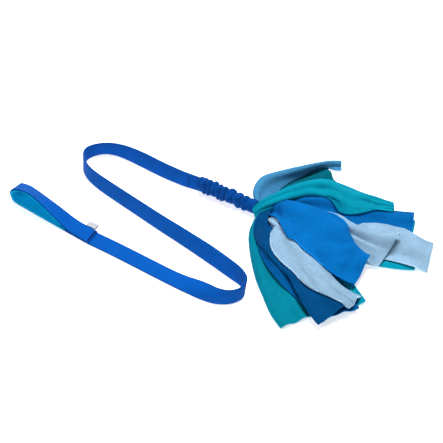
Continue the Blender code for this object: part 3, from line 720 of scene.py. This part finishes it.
def make_bungee():
    rows, columns = 230, 56
    along = np.linspace(-3.0, BUNGEE_END - BUNGEE_START + 2.0, rows)
    angle = 2 * np.pi * np.arange(columns) / columns
    grid_along, grid_angle = np.meshgrid(along, angle, indexing="ij")
    outer = sleeve_shape(grid_along, grid_angle)
    centre = outer.mean(axis=1, keepdims=True)
    inner = centre + (outer - centre) * SLEEVE_BORE
    rings = np.concatenate([outer, inner[::-1]])
    uvs = np.stack([np.concatenate([grid_along, grid_along[::-1]]),
                    np.concatenate([grid_angle, grid_angle[::-1]]) * 7.0], axis=2)
    cloth = plain_cloth("bungee_cloth", BUNGEE_BLUE, 0.8, 900.0, 0.3, 0.0004)
    sleeve = loft("bungee_cloth", rings, cloth, uvs, closed=True)
    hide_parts("bungee_sleeve")
    t = np.linspace(0, 1, 30)
    core = np.stack([BUNGEE_START + 0.6 + CORE_LENGTH * t, -4.0 + 4.0 * t, 11.2 - 2.4 * t], axis=1)
    elastic = tube("bungee_core", core, 2.5, plain_cloth("elastic_navy", ELASTIC_NAVY, 0.5, 1500.0), 16)
    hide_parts("bungee_elastic")
    for piece in (sleeve, elastic):
        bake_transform(piece)


def make_bungee_stitches():
    thread = plain_cloth("thread_blue", scaled(ROYAL, 0.55), 0.5, 2500.0)
    count = 19
    height = np.linspace(-8.6, 8.6, count)
    tilt = math.radians(-8.0)
    sway = np.where(np.arange(count) % 2 == 0, -0.35, 0.35)
    points = np.stack([9.0 + sway, -8.35 - height * math.sin(tilt), 11.0 + height * math.cos(tilt)], axis=1)
    stitches = tube("bungee_seam_stitches", points, 0.28, thread, 6)
    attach(stitches, "lead")
    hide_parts("bungee_stitching")


def make_anchor():
    """The webbing tab in the bungee's end, its stitches and the cord that binds the fleece."""
    first, last = 101.4, 103.4
    rings = []
    for height in np.linspace(2.8, 14.8, 9):
        pinch = 1.0 - 0.15 * abs(height - AXIS_HEIGHT) / 6.0
        rings.append([(first, -pinch, height), (last, -pinch, height),
                      (last, pinch, height), (first, pinch, height)])
    tab = loft("anchor_tab_webbing", rings, bpy.data.materials["webbing_royal"])
    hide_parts("anchor_tab")
    count = 13
    sway = np.where(np.arange(count) % 2 == 0, -0.3, 0.3)
    zigzag = np.stack([102.4 + sway, np.full(count, -1.5), np.linspace(3.8, 13.8, count)], axis=1)
    thread = tube("anchor_thread", zigzag, 0.25, bpy.data.materials["thread_navy"], 6)
    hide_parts("anchor_stitching")
    for piece in (tab, thread):
        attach(piece, "bungee_end")
    turns, radius = 3, 10.6
    angle = np.linspace(0, 2 * np.pi * turns, 48 * turns)
    drop = angle / (2 * np.pi) - turns / 2
    coil = np.stack([KNOT_X + radius * np.cos(angle), radius * np.sin(angle), AXIS_HEIGHT + drop * 0.6],
                    axis=1)
    cord = tube("binding_wraps", coil, 0.7, plain_cloth("binding_navy", scaled(NAVY, 1.2), 0.6, 1800.0), 8)
    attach(cord, "mop_anchor")
    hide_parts("binding_cord")


# ---------------------------------------------------------------- mop

def section(arc, width, bend, waves, phase):
    """A strip's cross-section, arc long and width wide: an even bend plus folds deep enough to fit."""
    u = np.linspace(-1, 1, COLUMNS)
    middle = (u[1:] + u[:-1]) / 2
    step = arc / (COLUMNS - 1)

    def shape(depth):
        angle = -math.radians(bend) / 2 * middle + depth * np.sin(np.pi * waves * middle + phase)
        across = np.concatenate([[0.0], np.cumsum(np.cos(angle) * step)])
        height = np.concatenate([[0.0], np.cumsum(np.sin(angle) * step)])
        return across - (across.max() + across.min()) / 2, height

    low, high = 0.0, 1.25
    for _ in range(16):
        depth = (low + high) / 2
        across, _ = shape(depth)
        if across.max() - across.min() > width:
            low = depth
        else:
            high = depth
    across, height = shape((low + high) / 2)
    return across, height - height.min()


def map_index(points):
    cells = np.floor((points[..., :2] - MAP_LOW) / CELL).astype(int)
    return np.clip(cells[..., 0], 0, MAP_SIZE[0] - 1), np.clip(cells[..., 1], 0, MAP_SIZE[1] - 1)


def lay_tail(tail, support):
    """A tail's grid of points, laid on what is under it where it doesn't stand by itself."""
    rows = even_rows(smooth_route(tail["stations"], 6), ROW_SPACING)
    count = len(rows)
    bend = spread(tail["bend"], count)
    own = spread(tail.get("own", (0.6, 0, 0, 0, 0)), count)
    grid = np.zeros((count, COLUMNS, 3))
    raised = np.zeros((count, COLUMNS))
    for i, row in enumerate(rows):
        heading, roll = math.radians(row[3]), math.radians(row[4])
        skew = tail.get("slant", 0.0) * (i / (count - 1)) ** 3
        ahead = np.array([math.cos(heading), math.sin(heading), 0.0])
        left = np.array([-math.sin(heading), math.cos(heading), 0.0])
        up = np.array([0.0, 0.0, 1.0])
        side = left * math.cos(roll) + up * math.sin(roll)
        face = up * math.cos(roll) - left * math.sin(roll)
        half_turn = math.radians(abs(bend[i])) / 2
        arc = row[5] * max(np.interp(row[5], (12.0, 30.0, 50.0), (1.7, 1.2, 1.02)),
                           1.02 * half_turn / math.sin(min(half_turn + 0.01, math.pi / 2)))
        across, height = section(arc, row[5], bend[i], tail["waves"], tail["phase"] + 0.012 * i)
        if own[i] > 0:
            height = height - own[i] * height.mean()
        offset = across[:, None] * side + height[:, None] * face
        offset += skew * np.linspace(-1, 1, COLUMNS)[:, None] * ahead
        grid[i] = row[:3] * [1, 1, 0] + offset * [1, 1, 0]
        raised[i] = offset[:, 2]
    wanted = rows[:, 2][:, None] + raised
    below = support[map_index(grid)]
    needed = below + FLEECE_THICK / 2 + 0.1
    resting = blur(widen(needed, 2, 2), 2.5, 2.5)
    lying = np.maximum(resting, needed) + np.maximum(raised, 0)
    height = own[:, None] * wanted + (1 - own[:, None]) * lying
    near = np.clip((np.hypot(grid[..., 0] - KNOT_X, grid[..., 1]) - KNOT_NEAR) / KNOT_FADE, 0, 1)
    free = np.maximum(height, needed)
    height = blur(near * free + (1 - near) * np.minimum(free, wanted + 2.0), 0.8, 0.8)
    along, across = np.meshgrid(np.linspace(0, 1, count), np.linspace(-1, 1, COLUMNS), indexing="ij")
    for s, u, reach, spread_u, rise in tail.get("dents", ()):
        height = height + rise * np.exp(-((along - s) / reach) ** 2 - ((across - u) / spread_u) ** 2)
    height = near * np.maximum(height, needed) + (1 - near) * height
    grid[..., 2] = np.maximum(height, FLEECE_THICK / 2 + 0.1) + ripples(grid, tail["phase"])
    return grid


def ripples(grid, seed):
    """Small unevenness of soft cloth."""
    out = np.zeros(grid.shape[:2])
    for i in range(grid.shape[0]):
        for j in range(grid.shape[1]):
            place = Vector((grid[i, j, 0] * 0.05, grid[i, j, 1] * 0.05, 7.0 * seed))
            out[i, j] = 0.55 + 0.55 * noise.noise(place)
    return out


def add_to_support(support, grid):
    """Raises the support map to a laid tail's upper face."""
    dense = grid
    for axis in (0, 1):
        between = (np.take(dense, range(dense.shape[axis] - 1), axis) +
                   np.take(dense, range(1, dense.shape[axis]), axis)) / 2
        size = list(dense.shape)
        size[axis] = dense.shape[axis] * 2 - 1
        finer = np.zeros(size)
        if axis == 0:
            finer[0::2], finer[1::2] = dense, between
        else:
            finer[:, 0::2], finer[:, 1::2] = dense, between
        dense = finer
    np.maximum.at(support, map_index(dense), dense[..., 2] + FLEECE_THICK / 2)


def make_tails():
    support = np.zeros(MAP_SIZE)
    for tail in TAILS:
        name = tail["name"]
        slot_name, colour = FLEECE[name.split("_")[1]]
        # tone_and_shade darkens a tail's colour: partly its fleece, partly painted shade where it lies under
        # other tails.
        colour = scaled(tail.get("colour", colour), tail.get("tone_and_shade", 1.0))
        # Each rim's material is its tail's fleece half again as light: a painted highlight along the cut
        # edges.
        materials = [fleece("fleece_" + name, colour), fleece("painted_highlight_edge_" + name, colour, 1.5)]
        grid = lay_tail(tail, support)
        add_to_support(support, grid)
        cloth = thick_sheet("tail_" + name + "_cloth", grid, FLEECE_THICK, materials)
        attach(cloth, tail.get("body", "mop"))
        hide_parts("tail_" + name)


def make_knot():
    """The strips' folded middles, bunched and bound."""
    rows, columns = 24, 72
    angle = 2 * np.pi * np.arange(columns) / columns
    rings = []
    for t in np.linspace(0, 1, rows):
        waist = 1.0 - 0.18 * math.exp(-((t - 0.48) / 0.14) ** 2)
        dome = math.sqrt(max(0.02, 1 - max(0.0, (t - 0.72) / 0.28) ** 2))
        pleats = 0.9 * np.sin(9 * angle + 3 * t) + 0.5 * np.sin(14 * angle - 5 * t)
        radius = (9.4 * waist + pleats) * dome
        rings.append(np.stack([KNOT_X + radius * np.cos(angle), radius * np.sin(angle),
                               np.full(columns, 0.6 + 17.4 * t)], axis=1))
    # Half the blue fleece's colour: painted shade deep among the bunched strips.
    knot = loft("knot_cloth", rings, fleece("fleece_knot", scaled(FLEECE_BLUE, 0.5)))
    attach(knot, "mop")
    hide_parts("fleece_knot")


def main():
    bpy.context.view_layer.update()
    make_camera()
    make_lead()
    make_floor()
    make_lights()
    make_handle()
    make_handle_stitches()
    make_label()
    make_bungee()
    make_bungee_stitches()
    make_anchor()
    make_tails()
    make_knot()


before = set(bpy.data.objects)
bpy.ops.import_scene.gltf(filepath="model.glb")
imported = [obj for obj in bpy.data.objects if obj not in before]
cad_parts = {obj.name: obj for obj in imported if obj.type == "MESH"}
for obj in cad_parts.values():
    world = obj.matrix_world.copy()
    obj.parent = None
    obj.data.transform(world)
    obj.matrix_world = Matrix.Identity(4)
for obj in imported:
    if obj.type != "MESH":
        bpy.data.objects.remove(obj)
main()
